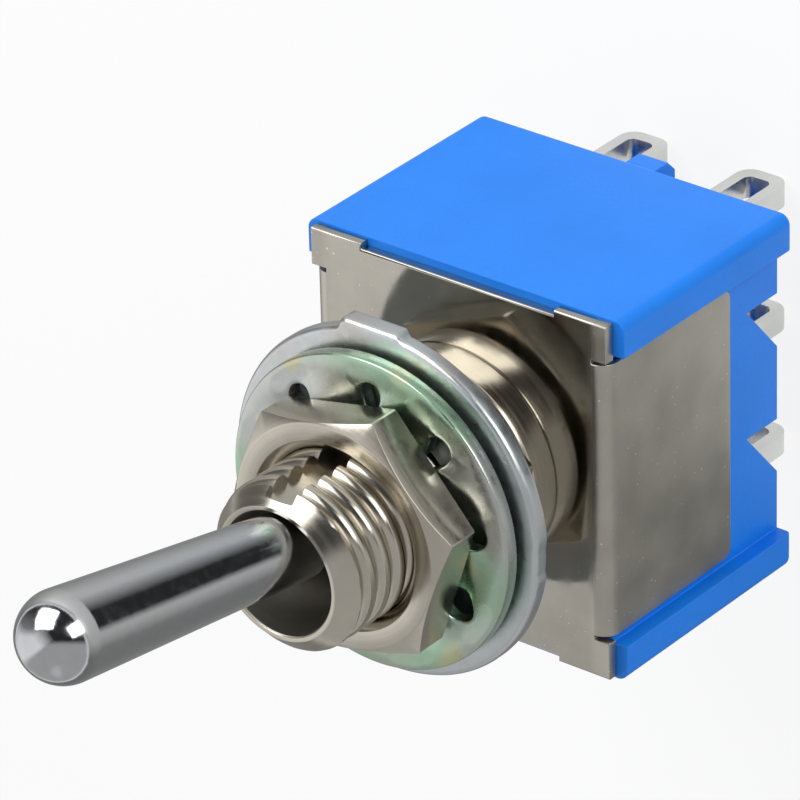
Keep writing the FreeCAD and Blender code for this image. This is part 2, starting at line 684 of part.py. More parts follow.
def make_tooth_washer():
    """Internal-tooth lock washer: a flat rim with teeth that are each twisted about their length."""
    outer, rim = number("washer_radius"), number("washer_radius - washer_rim")
    thickness, width = number("washer_thickness"), number("tooth_width")
    tip, root = number("thread_radius + ring_clearance"), rim + thickness / 2
    centre, up, along = Vector(0, 0, 0), Vector(0, 0, 1), Vector(1, 0, 0)
    down = Vector(0, 0, -thickness / 2)
    shape = Part.makeCylinder(outer, thickness, down).cut(Part.makeCylinder(rim, thickness, down))
    count = int(number("tooth_count"))
    teeth = []
    for index in range(count):
        tooth = Part.makeBox(root - tip, width, thickness, Vector(tip, -width / 2, -thickness / 2))
        tooth.rotate(centre, along, number("tooth_twist"))
        tooth.rotate(centre, up, number("tooth_phase") + index * 360 / count)
        teeth.append(tooth)
    washer = doc.addObject("Part::Feature", "ToothWasher")
    washer.Shape = shape.fuse(teeth).removeSplitter()
    place(washer, z=WASHER_MIDDLE)
    keep(washer, "tooth_washer")


def rocker_outline():
    """One half of the rocker seen along X, from the middle of its top round to the middle below."""
    top, under = ROCKER_TOP, f"({ROCKER_TOP} - rocker_thickness)"
    wing_top, wing_under = f"({top} + wing_rise)", f"({under} + wing_rise)"
    wing_end = "(wing_reach + wing_flat)"
    return (
        ("rocker_saddle", top),
        ("wing_reach", wing_top),
        (wing_end, wing_top),
        (f"{wing_end} + contact_drop", top),
        ("contact_reach", top),
        ("contact_reach", under),
        (f"{wing_end} + contact_drop / 2", under),
        (f"{wing_end} - contact_drop / 2", wing_under),
        ("wing_reach", wing_under),
        ("rocker_saddle", under),
    )


def make_rocker(side_name, side):
    """Bent strip that tips on the common terminal and closes one contact; drawn about its fulcrum."""
    body = new_body(f"Rocker_{side_name}")
    half = rocker_outline()
    corners = list(half) + [(f"0 - ({y})", z) for y, z in reversed(half)]
    profile = draw(body, f"rocker_section_{side_name}", "YZ_Plane", [corners])
    pad(body, profile, "rocker_width", side="Symmetric")
    place(body, f"{side} * {COLUMN}", "0", ROCKER_PIVOT, Vector(1, 0, 0), "rocker_tilt")
    keep(body, f"rocker_{side_name}")


def lug_eye():
    """The eye of a solder lug: a rectangle with rounded corners."""
    half, low = "eye_width / 2", f"({LUG_TIP} + eye_margin)"
    high = f"({low} + eye_length)"
    turn = "eye_radius"
    return (
        (f"{turn} - {half}", low),
        (f"{half} - {turn}", low, turn),
        (half, f"{low} + {turn}"),
        (half, f"{high} - {turn}", turn),
        (f"{half} - {turn}", high),
        (f"{turn} - {half}", high, turn),
        (f"0 - {half}", f"{high} - {turn}"),
        (f"0 - {half}", f"{low} + {turn}", turn),
    )


def finish_lug(body, name):
    """Round the lug's free corners and pierce its eye."""
    round_edges(body, f"{name}_tip", "lug_tip_radius", lambda edge: (
        runs_along(edge, Vector(0, 1, 0)) and abs(edge.BoundBox.ZMax - number(LUG_TIP)) < 1e-4))
    eye = draw(body, f"{name}_eye", "XZ_Plane", [lug_eye()])
    pocket(body, eye, "terminal_thickness * 2", side="Symmetric")


def make_common_terminal(side_name, side):
    """Straight blade: solder lug behind the case, shoulder on the floor, round fulcrum on top."""
    name = f"common_terminal_{side_name}"
    body = new_body(name)
    half = "terminal_thickness / 2"
    corners = (
        (f"0 - {half}", LUG_TIP),
        (half, LUG_TIP),
        (half, ROCKER_PIVOT, half),
        ("0", f"{ROCKER_PIVOT} + {half}", half),
        (f"0 - {half}", ROCKER_PIVOT),
    )
    profile = draw(body, f"{name}_section", "YZ_Plane", [corners])
    pad(body, profile, "terminal_width", side="Symmetric")
    finish_lug(body, name)
    shoulder = draw(body, f"{name}_shoulder", "YZ_Plane", [rectangle(
        f"0 - {half}", half, FLOOR, HEAD_TOP)])
    pad(body, shoulder, "shoulder_width", side="Symmetric")
    place(body, f"{side} * {COLUMN}")
    keep(body, name)


def make_throw_terminal(side_name, side, end_name, end):
    """Blade with its head bent inwards over the floor, pierced for the contact rivet."""
    name = f"{end_name}_terminal_{side_name}"
    body = new_body(name)
    half = "terminal_thickness / 2"
    corners = (
        (f"0 - {half}", LUG_TIP),
        (half, LUG_TIP),
        (half, HEAD_TOP),
        ("0 - head_reach", HEAD_TOP),
        ("0 - head_reach", FLOOR),
        (f"0 - {half}", FLOOR),
    )
    profile = draw(body, f"{name}_section", "YZ_Plane", [corners])
    pad(body, profile, "terminal_width", side="Symmetric")
    finish_lug(body, name)
    shank = ("circle", "0", "0 - rivet_offset", "rivet_shank_radius")
    hole = draw(body, f"{name}_hole", "XY_Plane", [shank], HEAD_TOP)
    pocket(body, hole, "terminal_head")
    place(body, f"{side} * {COLUMN}", f"{end} * terminal_pitch", "0", turn="0" if end > 0 else "180")
    keep(body, name)


def make_contact_rivet(side_name, side, end_name, end):
    """Silver rivet set in a throw terminal's head."""
    name = f"{end_name}_contact_{side_name}"
    body = new_body(name)
    corners = (
        ("0", f"0 - rivet_height - terminal_head"),
        ("rivet_shank_radius", "0 - rivet_height - terminal_head"),
        ("rivet_shank_radius", "0 - rivet_height"),
        ("rivet_radius", "0 - rivet_height"),
        ("rivet_radius", "0"),
        ("0", "0"),
    )
    turned(body, draw(body, f"{name}_section", "XZ_Plane", [corners]))
    place(body, f"{side} * {COLUMN}", f"{end} * {CONTACT_Y}", CONTACT_Z)
    keep(body, name)


def make_pole(side_name, side):
    """Everything that one pole of the switch has."""
    make_plunger(side_name, side)
    make_spring(side_name, side)
    make_rocker(side_name, side)
    make_common_terminal(side_name, side)
    for end_name, end in (("upper", 1), ("lower", -1)):
        make_throw_terminal(side_name, side, end_name, end)
        make_contact_rivet(side_name, side, end_name, end)


make_case()
make_frame()
make_bushing()
make_lever()
make_yoke()
for pole_name, pole_side in SIDES:
    make_pole(pole_name, pole_side)
make_nut("RearNut", "rear_nut", REAR_NUT_SEAT, "rear_nut_turn")
make_locking_ring()
make_tooth_washer()
make_nut("FrontNut", "front_nut", FRONT_NUT_SEAT, "front_nut_turn")
doc.recompute()

for item in doc.Objects:
    if "Invalid" in item.State or "Error" in item.State:
        raise RuntimeError(f"{item.Label} did not compute: {item.State}")

os.makedirs("parts", exist_ok=True)
for piece in pieces:
    shape = piece.Shape
    if shape.isNull() or not shape.isValid() or not shape.Solids:
        raise RuntimeError(f"{piece.Label} has no sound solid")
    if len(shape.Solids) != 1:
        raise RuntimeError(f"{piece.Label} should be one solid, but has {len(shape.Solids)}")

for piece in pieces:
    piece.Shape.exportStep(f"parts/{piece.Label}.step")
    print(piece.Label, round(piece.Shape.Volume, 3))
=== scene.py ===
import json
import math

import bmesh
import bpy
from bpy.props import FloatProperty, FloatVectorProperty, IntProperty, PointerProperty
from mathutils import Matrix, Vector


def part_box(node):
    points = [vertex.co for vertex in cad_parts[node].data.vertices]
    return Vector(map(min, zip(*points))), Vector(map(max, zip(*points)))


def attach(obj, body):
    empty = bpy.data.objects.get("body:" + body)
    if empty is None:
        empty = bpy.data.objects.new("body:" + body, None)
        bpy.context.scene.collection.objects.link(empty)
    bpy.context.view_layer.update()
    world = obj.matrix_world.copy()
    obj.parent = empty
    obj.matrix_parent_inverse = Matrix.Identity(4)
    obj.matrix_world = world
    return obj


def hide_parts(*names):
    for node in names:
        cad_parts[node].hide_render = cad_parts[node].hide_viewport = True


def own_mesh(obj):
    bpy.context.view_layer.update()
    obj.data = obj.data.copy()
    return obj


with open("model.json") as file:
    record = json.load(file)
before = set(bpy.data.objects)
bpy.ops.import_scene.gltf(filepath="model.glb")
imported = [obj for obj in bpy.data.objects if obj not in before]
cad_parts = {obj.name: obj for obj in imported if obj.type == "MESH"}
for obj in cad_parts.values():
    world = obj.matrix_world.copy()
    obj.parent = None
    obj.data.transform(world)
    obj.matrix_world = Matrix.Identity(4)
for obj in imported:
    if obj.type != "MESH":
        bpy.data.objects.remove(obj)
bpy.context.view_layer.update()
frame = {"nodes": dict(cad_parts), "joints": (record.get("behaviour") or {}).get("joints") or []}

bl_info = {
    "name": "Panel toggle switch",
    "version": (1, 0, 0),
    "blender": (4, 5, 0),
    "location": "3D View > Sidebar > Switch",
    "description": "Dresses a two-pole panel toggle switch round its packed model",
    "category": "Object",
}

MM = 0.001
WELD = 1e-7
# Nearly all of a noise texture's values lie between these two.
NOISE_LOW, NOISE_HIGH = 0.3, 0.7
SIDES = ("left", "right")
JOINTS = {joint["name"]: joint for joint in frame["joints"]}
PIVOT = Vector(JOINTS["lever_tilt"]["pos_m"])
LEVER_AXIS = Vector(JOINTS["plunger_left_slide"]["axis"]).normalized()
FLOOR_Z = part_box("upper_terminal_left")[0].z
# The photo's camera: its place, the way back to it and its right.
CAMERA_PLACE = Vector((125.257, 114.068, 159.186)) * MM
CAMERA_BACK = Vector((0.54753, 0.48396, 0.68264)).normalized()
CAMERA_RIGHT = Vector((0.78818, -0.02429, -0.61497))
# The way that faces turned up mirror to that camera, the way across it, and down in the picture.
MIRRORED_UP = (-0.548, -0.484, 0.683)
MIRRORED_ACROSS = (-0.707, 0.707, 0)
PICTURE_DOWN = (0.287, -0.871, 0.398)


def linear(code):
    """Linear red, green and blue of an sRGB hex colour."""
    shares = [int(code[i:i + 2], 16) / 255 for i in (0, 2, 4)]
    return tuple(s / 12.92 if s <= 0.04045 else ((s + 0.055) / 1.055) ** 2.4 for s in shares)


def length(name, description, millimetres):
    """A length property whose default is given in millimetres."""
    return FloatProperty(name=name, description=description, default=millimetres * MM, min=0,
                         subtype="DISTANCE", unit="LENGTH", precision=5)


def colour(name, description, code):
    """A colour property whose default is given as an sRGB hex colour."""
    return FloatVectorProperty(name=name, description=description, default=linear(code), size=3,
                               min=0, max=1, subtype="COLOR")


class SwitchSizes(bpy.types.PropertyGroup):
    """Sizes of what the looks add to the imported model."""
    thread_pitch: length("Thread pitch", "From one thread crest to the next", 0.75)
    thread_depth: length("Thread depth", "From the crests to the roots of the bushing's thread", 0.3)
    thread_radius: length("Thread radius", "Crests of the bushing's thread", 2.95)
    mouth_radius: length("Mouth radius", "Outer edge of the bushing's flat mouth", 2.36)
    mouth_chamfer: length("Mouth chamfer", "Height of the bevel outside the mouth", 0.6)
    bore_radius: length("Bore radius", "Bore of the bushing", 2.18)
    keyway_width: length("Keyway width", "Slot along the thread", 1.1)
    keyway_floor: length("Keyway floor", "From the axis to the floor of the slot", 2.55)
    nut_flats: length("Nut flats", "Hexagon nuts across their flats", 8.0)
    nut_face_radius: length("Nut face radius", "Flat round face of the hexagon nuts", 3.95)
    nut_corner: length("Nut corner", "Rounding of the nuts' six corners", 0.14)
    ring_radius: length("Ring radius", "Outside of the locking ring", 6.15)
    ring_edge: length("Ring edge", "Rounding of the locking ring's rim", 0.2)
    ring_nick: length("Ring nick", "Depth of the small flat sheared into the ring's rim", 0.07)
    washer_radius: length("Washer radius", "Outside of the lock washer", 5.55)
    washer_rim: length("Washer rim", "Inside of the lock washer's plain rim", 4.75)
    sheet_edge: length("Sheet edge", "Rounding on the struck edges of the sheet", 0.17)
    moulded_edge: length("Moulded edge", "Rounding on the edges of the moulding", 0.12)
    tinned_edge: length("Tinned edge", "Rounding that the tin gives the lugs", 0.24)
    tooth_width: length("Tooth width", "Teeth of the lock washer", 1.9)
    tooth_twist: FloatProperty(name="Tooth twist", description="Turn of each tooth about its length",
                               default=math.radians(13), subtype="ANGLE", unit="ROTATION")
    tooth_count: IntProperty(name="Teeth", description="Teeth of the lock washer", default=9, min=3)


class SwitchColours(bpy.types.PropertyGroup):
    """Colours of the finishes."""
    moulding: colour("Moulding", "Blue moulded case", "0c7fec")
    plating: colour("Plated steel", "Nickel plating on the frame", "bcb8ae")
    nickel: colour("Plated brass", "Nickel plating on the bushing and nuts", "c6c0b4")
    zinc: colour("Zinc", "Ground colour of the lock washer", "c2c5c1")
    zinc_yellow: colour("Zinc yellow", "Yellow patches on the lock washer", "cfca9a")
    zinc_green: colour("Zinc green", "Green patches on the lock washer", "a6c4ab")
    zinc_rose: colour("Zinc rose", "Faint rosy patches on the zinc", "c6bcb6")
    blue_zinc: colour("Blue zinc", "Locking ring", "cbd2d5")
    chrome: colour("Chrome", "Lever", "c3c5c8")
    tin: colour("Tin", "Solder lugs", "d2d3cf")
    dark_moulding: colour("Dark moulding", "Yoke on the lever's stem", "26272b")
    brass: colour("Brass", "Plungers and rockers", "c7a158")
    silver: colour("Silver", "Contact rivets", "d6d4cf")
    spring_steel: colour("Spring steel", "Plunger springs", "9b9b9e")
    floor: colour("Floor", "Ground under the switch", "fcfcfc")
    card: colour("Card", "Paper that the metal's lower side shows", "fafaf6")
    dark_card: colour("Dark card", "Dark patch of that paper", "1b1d1e")


class StudioSettings(bpy.types.PropertyGroup):
    """Light and camera."""
    key: FloatProperty(name="Key light", description="Power of the soft lamp above the switch",
                       default=0.29, min=0, unit="POWER")
    side: FloatProperty(name="Side light", description="Power of the soft lamp beside the switch",
                        default=0.185, min=0, unit="POWER")
    surround: FloatProperty(name="Screen", description="Strength of the bright screen to the left",
                            default=1.05, min=0)
    wall: FloatProperty(name="Wall", description="Strength of the pale wall below the picture",
                        default=0.5, min=0)
    dusk: FloatProperty(name="Dusk", description="Strength of the dim room behind the camera",
                        default=0.03, min=0)
    lens: FloatProperty(name="Lens", description="Focal length on a 36 mm sensor in millimetres",
                        default=322.74, min=1)


def soften(points, radius, steps=4, closed=False):
    """Replace the corners of a 2-D line by arcs; radius is one value or one for each point."""
    # An arc takes just under half of each side, so that two arcs never meet in one point.
    straight, sharing = math.pi - 0.001, 2.001
    count = len(points)
    radii = [radius] * count if isinstance(radius, (int, float)) else list(radius)
    points = [Vector(point) for point in points]
    line = []
    for index, point in enumerate(points):
        if radii[index] <= 0 or (not closed and index in (0, count - 1)):
            line.append(point)
            continue
        before, after = points[index - 1] - point, points[(index + 1) % count] - point
        if min(before.length, after.length) < WELD or before.angle(after) > straight:
            line += [point] * (steps + 1)
            continue
        half = before.angle(after) / 2
        reach = radii[index] / math.tan(half)
        reach = min(reach, before.length / sharing, after.length / sharing)
        start, end = point + before.normalized() * reach, point + after.normalized() * reach
        centre = point + (before.normalized() + after.normalized()).normalized() * reach / math.cos(half)
        first, last = start - centre, end - centre
        swing = math.atan2(first.x * last.y - first.y * last.x, first.dot(last))
        for step in range(steps + 1):
            line.append(centre + Matrix.Rotation(swing * step / steps, 2) @ first)
    return line


def new_mesh(name, build):
    """An object whose mesh is welded, with every face turned outwards and shaded smooth."""
    build.normal_update()
    bmesh.ops.remove_doubles(build, verts=build.verts, dist=WELD)
    bmesh.ops.recalc_face_normals(build, faces=build.faces)
    for face in build.faces:
        face.smooth = True
    mesh = bpy.data.meshes.new(name)
    build.to_mesh(mesh)
    build.free()
    piece = bpy.data.objects.new(name, mesh)
    bpy.context.scene.collection.objects.link(piece)
    return piece


def grid(name, rows, closed=True):
    """Join rows of as many points each into one surface; closed joins the last row to the first."""
    build = bmesh.new()
    lines = [[build.verts.new(point) for point in row] for row in rows]
    if closed:
        lines.append(lines[0])
    for low, high in zip(lines, lines[1:]):
        for index in range(len(low) - 1):
            build.faces.new((low[index], low[index + 1], high[index + 1], high[index]))
    return new_mesh(name, build)


def turned(profile, turns):
    """Rows of points: each (radius, height) point of a line at each angle about the Z axis."""
    return [[(r * math.cos(t), r * math.sin(t), z) for t in turns] for r, z in profile]


def lathe(name, profile):
    """Turn an open line of (radius, height) points about the Z axis."""
    columns = 96
    turns = [math.tau * column / columns for column in range(columns + 1)]
    turns[-1] = 0.0
    return grid(name, turned(profile, turns), closed=False)


def prism(name, outline, low, high):
    """A closed 2-D outline raised from low to high along Z."""
    build = bmesh.new()
    face = build.faces.new([build.verts.new((x, y, low)) for x, y in outline])
    raised = bmesh.ops.extrude_face_region(build, geom=[face])["geom"]
    for vertex in raised:
        if isinstance(vertex, bmesh.types.BMVert):
            vertex.co.z = high
    return new_mesh(name, build)


def settle(piece):
    """Make a piece's modifiers part of its mesh."""
    seen = bpy.context.evaluated_depsgraph_get()
    mesh = bpy.data.meshes.new_from_object(piece.evaluated_get(seen))
    piece.modifiers.clear()
    spare, piece.data = piece.data, mesh
    bpy.data.meshes.remove(spare)
    return piece


def combined(piece, tools, operation):
    """Join tools to a piece, or cut them from it."""
    for tool in tools:
        change = piece.modifiers.new(operation.lower(), "BOOLEAN")
        change.operation, change.solver, change.object = operation, "EXACT", tool
    settle(piece)
    for tool in tools:
        bpy.data.objects.remove(tool)


def from_node(name, node, edge, steps=3, weigh=None):
    """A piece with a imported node's shape, its flat faces whole and its sharp edges rounded.

    weigh gives an edge's share of the rounding, where the edges differ.
    """
    sharp, flat, weld = math.radians(35), math.radians(1), 1e-6
    build = bmesh.new()
    build.from_mesh(frame["nodes"][node].data)
    bmesh.ops.remove_doubles(build, verts=build.verts, dist=weld)
    bmesh.ops.dissolve_limit(build, angle_limit=flat, verts=build.verts, edges=build.edges)
    if weigh:
        build.normal_update()
        share = build.edges.layers.float.new("bevel_weight_edge")
        for line in build.edges:
            if len(line.link_faces) == 2 and line.calc_face_angle() > sharp:
                line[share] = weigh(line)
    piece = new_mesh(name, build)
    bevel = piece.modifiers.new("edges", "BEVEL")
    bevel.width, bevel.segments, bevel.limit_method = edge, steps, "WEIGHT" if weigh else "ANGLE"
    bevel.angle_limit, bevel.use_clamp_overlap = sharp, True
    return settle(piece)


def struck_edge(line):
    """The frame's long upper edges are rounded in full, its others by a third."""
    first, last = (vertex.co for vertex in line.verts)
    near, inner = 0.01 * MM, 6 * MM
    upper = min(first.z, last.z) > -near
    long_edge = min(abs(first.y), abs(last.y)) > inner and abs(first.y - last.y) < near
    return 1.0 if upper and long_edge else 0.35


def fit(piece, body, material, slot, *nodes, sharp=40):
    """Give a piece its finish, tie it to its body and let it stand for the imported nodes."""
    piece.data.materials.clear()
    piece.data.materials.append(material)
    for face in piece.data.polygons:
        face.use_smooth = True
    piece.data.set_sharp_from_angle(angle=math.radians(sharp))
    even = piece.modifiers.new("flats", "WEIGHTED_NORMAL")
    even.keep_sharp = True
    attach(piece, body)
    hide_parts(*nodes)
    return piece


def add(tree, kind, inputs=None, **settings):
    """Add a node: settings are its properties; inputs are values or the outputs to link."""
    node = tree.nodes.new("ShaderNode" + kind)
    for name, value in settings.items():
        setattr(node, name, value)
    for key, value in (inputs or {}).items():
        if isinstance(value, bpy.types.NodeSocket):
            tree.links.new(value, node.inputs[key])
        else:
            node.inputs[key].default_value = value
    return node


def finish_named(name, metal=False):
    """A new material, its node tree and its shader."""
    material = bpy.data.materials.new(name)
    material.use_nodes = True
    tree = material.node_tree
    shader = tree.nodes["Principled BSDF"]
    shader.inputs["Metallic"].default_value = float(metal)
    return material, tree, shader


def grain(tree, millimetres, detail=2.0, stretch=(1, 1, 1), rough=0.5):
    """Noise whose clumps are so many millimetres across, stretched along the object's axes."""
    place = add(tree, "TexCoord").outputs["Object"]
    scaled = add(tree, "Mapping", {"Vector": place, "Scale": stretch}).outputs["Vector"]
    return add(tree, "TexNoise", {"Vector": scaled, "Scale": 1 / (millimetres * MM), "Detail": detail,
                                  "Roughness": rough}).outputs["Fac"]


def span(tree, value, low, high, start, end):
    """Map a value from low..high to start..end, held at both ends."""
    return add(tree, "MapRange", {"Value": value, "From Min": low, "From Max": high, "To Min": start,
                                  "To Max": end}).outputs["Result"]


def spread(tree, noise, start=0.0, end=1.0):
    """Map a noise to start..end."""
    return span(tree, noise, NOISE_LOW, NOISE_HIGH, start, end)


def blended(tree, share, first, second):
    """Mix two colours; each is a linear colour or another output."""
    mixed = add(tree, "Mix", {"Factor": share}, data_type="RGBA")
    for key, value in (("A", first), ("B", second)):
        socket = next(s for s in mixed.inputs if s.name == key and s.type == "RGBA")
        if isinstance(value, bpy.types.NodeSocket):
            tree.links.new(value, socket)
        else:
            socket.default_value = (*value[:3], 1)
    return next(s for s in mixed.outputs if s.type == "RGBA")


def steps_of(tree, value, low, high, stops):
    """Read a value between low and high off (place, brightness) stops."""
    share = span(tree, value, low, high, 0, 1)
    ramp = add(tree, "ValToRGB", {"Fac": share})
    for index, (place, reading) in enumerate(stops):
        element = ramp.color_ramp.elements[index] if index < 2 else ramp.color_ramp.elements.new(1)
        element.position = (place - low) / (high - low)
        element.color = (reading, reading, reading, 1)
    return ramp.outputs["Color"]


def raise_skin(tree, shader, height, millimetres):
    """Bump the surface by a height of 0 to 1 times so many millimetres."""
    bump = add(tree, "Bump", {"Height": height, "Distance": millimetres * MM, "Strength": 1.0})
    tree.links.new(bump.outputs["Normal"], shader.inputs["Normal"])


def shades(tree, share, base, low, high):
    """A base colour that wanders between low and high times itself."""
    return blended(tree, share, *(tuple(channel * factor for channel in base) for factor in (low, high)))


def tint(tree, shader, mixed):
    """Give the surface a mixed colour."""
    tree.links.new(mixed, shader.inputs["Base Color"])


def dull(tree, shader, noise, low, high):
    """Let the roughness wander from low to high with a noise."""
    tree.links.new(spread(tree, noise, low, high), shader.inputs["Roughness"])


def from_axis(tree):
    """A point's distance from the Z axis, and its height."""
    place = add(tree, "TexCoord").outputs["Object"]
    parts = add(tree, "SeparateXYZ", {"Vector": place}).outputs
    flat = add(tree, "CombineXYZ", {"X": parts["X"], "Y": parts["Y"]}).outputs["Vector"]
    return add(tree, "VectorMath", {0: flat}, operation="LENGTH").outputs["Value"], parts["Z"]


def turned_rings(tree, millimetres):
    """Noise that is even round the Z axis: rings on a turned face and lines round a turned wall."""
    radius, height = from_axis(tree)
    rings = add(tree, "CombineXYZ", {"X": radius, "Z": height}).outputs["Vector"]
    settings = {"Vector": rings, "Scale": 1 / (millimetres * MM), "Detail": 2.0}
    return add(tree, "TexNoise", settings).outputs["Fac"]


def blue_moulding():
    # Moulded blue thermoset: an even satin colour with a faint cloudiness and a fine matt grain.
    base = tuple(bpy.context.scene.switch_colours.moulding)
    material, tree, shader = finish_named("moulded_blue_thermoset")
    clouds = grain(tree, 3.0, 3.0)
    tint(tree, shader, shades(tree, spread(tree, clouds), base, 0.96, 1.04))
    fine = grain(tree, 0.13)
    dull(tree, shader, fine, 0.38, 0.46)
    shader.inputs["IOR"].default_value = 1.42
    raise_skin(tree, shader, fine, 0.004)
    return material


def plated_sheet():
    # Bright nickel on cold-rolled steel: a mirror on the flat plate with slow waves and fine pale specks,
    # but satin grey on the bends and legs, where forming has dulled it.
    base = tuple(bpy.context.scene.switch_colours.plating)
    material, tree, shader = finish_named("bright_nickel_on_steel", metal=True)
    place = add(tree, "TexCoord").outputs["Object"]
    across = add(tree, "SeparateXYZ", {"Vector": place}).outputs["X"]
    outwards = add(tree, "Math", {0: across}, operation="ABSOLUTE").outputs["Value"]
    bend_start, bend_end = 5.1 * MM, 5.6 * MM
    formed = span(tree, outwards, bend_start, bend_end, 0, 1)
    clouds = spread(tree, grain(tree, 1.6, 3.0))
    specks = span(tree, grain(tree, 0.13, 1.0), 0.74, 0.77, 0, 0.8)
    ground = blended(tree, formed, shades(tree, clouds, base, 0.92, 1.05),
                     shades(tree, clouds, base, 0.9, 1.08))
    pale = (0.9, 0.9, 0.88)
    tint(tree, shader, blended(tree, specks, ground, pale))
    streaks = spread(tree, grain(tree, 0.5, 3.0, (1, 0.16, 1)), 0.05, 0.13)
    satin = span(tree, clouds, 0, 1, 0.34, 0.44)
    gloss = add(tree, "Mix", {"Factor": formed, "A": streaks, "B": satin}).outputs["Result"]
    tree.links.new(gloss, shader.inputs["Roughness"])
    raise_skin(tree, shader, grain(tree, 2.6, 1.0), 0.008)
    return material


def plated_brass():
    # Nickel on turned brass: bright and slightly warm, with faint rings left by the tool, and a duller
    # bore where the rings are deeper and catch the light one by one.
    base = tuple(bpy.context.scene.switch_colours.nickel)
    material, tree, shader = finish_named("nickel_on_turned_brass", metal=True)
    tint(tree, shader, shades(tree, spread(tree, grain(tree, 1.4)), base, 0.94, 1.05))
    radius, _ = from_axis(tree)
    bore, bore_edge = 2.19 * MM, 2.22 * MM
    bored = span(tree, radius, bore, bore_edge, 1, 0)
    rings = turned_rings(tree, 0.12)
    gloss = add(tree, "Mix", {"Factor": bored, "A": spread(tree, rings, 0.17, 0.27), "B": 0.42})
    tree.links.new(gloss.outputs["Result"], shader.inputs["Roughness"])
    height = add(tree, "Mix", {"Factor": bored, "A": 0.12, "B": 1.0}).outputs["Result"]
    height = add(tree, "Math", {0: rings, 1: height}, operation="MULTIPLY").outputs["Value"]
    raise_skin(tree, shader, height, 0.014)
    return material


def passivated_zinc():
    # Zinc with a thin yellow passivation: pale grey with broad green veils, and a few small yellow ones.
    palette = bpy.context.scene.switch_colours
    material, tree, shader = finish_named("yellow_passivated_zinc", metal=True)
    green = span(tree, grain(tree, 4.5, 0.0), 0.36, 0.53, 0, 1)
    yellow = span(tree, grain(tree, 2.2, 0.0, (1.1, 0.9, 1)), 0.62, 0.72, 0, 0.7)
    rose = span(tree, grain(tree, 3.4, 0.0, (0.8, 1.2, 1)), 0.6, 0.74, 0, 0.45)
    ground = blended(tree, green, tuple(palette.zinc), tuple(palette.zinc_green))
    ground = blended(tree, rose, ground, tuple(palette.zinc_rose))
    tint(tree, shader, blended(tree, yellow, ground, tuple(palette.zinc_yellow)))
    fine = grain(tree, 0.5, 1.0)
    dull(tree, shader, fine, 0.24, 0.34)
    raise_skin(tree, shader, fine, 0.006)
    return material


def bright_zinc():
    # Blue-white zinc on stamped steel: cool grey and half bright, with faint cloudy and rosy marks.
    palette = bpy.context.scene.switch_colours
    base = tuple(palette.blue_zinc)
    material, tree, shader = finish_named("blue_passivated_zinc", metal=True)
    ground = shades(tree, spread(tree, grain(tree, 1.6, 3.0)), base, 0.92, 1.06)
    rose = span(tree, grain(tree, 3.4, 1.0), 0.52, 0.7, 0, 0.6)
    tint(tree, shader, blended(tree, rose, ground, tuple(palette.zinc_rose)))
    dull(tree, shader, grain(tree, 0.3, 3.0), 0.27, 0.38)
    raise_skin(tree, shader, grain(tree, 0.4, 3.0), 0.012)
    return material


def polished_chrome():
    # Chrome on polished brass: a clean mirror, softened a little by fine marks across its length.
    base = tuple(bpy.context.scene.switch_colours.chrome)
    material, tree, shader = finish_named("polished_chrome", metal=True)
    marks = grain(tree, 0.35, 4.0, rough=0.6)
    tint(tree, shader, shades(tree, marks, base, 0.92, 1.06))
    dull(tree, shader, marks, 0.06, 0.17)
    raise_skin(tree, shader, marks, 0.003)
    return material


def dipped_tin():
    # Brass dipped in tin: soft grey lustre, thick smooth rims and shallow runs.
    base = tuple(bpy.context.scene.switch_colours.tin)
    material, tree, shader = finish_named("hot_dipped_tin", metal=True)
    runs = grain(tree, 1.2, 1.0, (1, 1, 0.5))
    tint(tree, shader, shades(tree, spread(tree, runs), base, 0.9, 1.05))
    dull(tree, shader, grain(tree, 0.4, 1.0), 0.24, 0.34)
    raise_skin(tree, shader, runs, 0.04)
    return material


def plain_metal(name, base, low, high):
    """A worn metal of one colour, its gloss varying in patches."""
    material, tree, shader = finish_named(name, metal=True)
    patches = grain(tree, 0.5, 3.0)
    tint(tree, shader, shades(tree, patches, base, 0.85, 1.08))
    dull(tree, shader, patches, low, high)
    raise_skin(tree, shader, grain(tree, 0.2), 0.004)
    return material


def dark_moulding():
    # Black moulded nylon: matt, with a fine grain.
    base = tuple(bpy.context.scene.switch_colours.dark_moulding)
    material, tree, shader = finish_named("moulded_black_nylon")
    fine = grain(tree, 0.15)
    tint(tree, shader, shades(tree, fine, base, 0.8, 1.3))
    dull(tree, shader, fine, 0.5, 0.65)
    raise_skin(tree, shader, fine, 0.006)
    return material


def lever_tilt_matrix():
    """Turn the Z axis onto the lever's axis, about the ball's centre."""
    return Matrix.Translation(PIVOT) @ Vector((0, 0, 1)).rotation_difference(LEVER_AXIS).to_matrix().to_4x4()


def arc(centre, radius, start, end, steps):
    """Points on an arc in a (radius, height) section; angles are in degrees from the radial axis."""
    turns = [math.radians(start + (end - start) * step / steps) for step in range(steps + 1)]
    return [(centre[0] + radius * math.cos(t), centre[1] + radius * math.sin(t)) for t in turns]


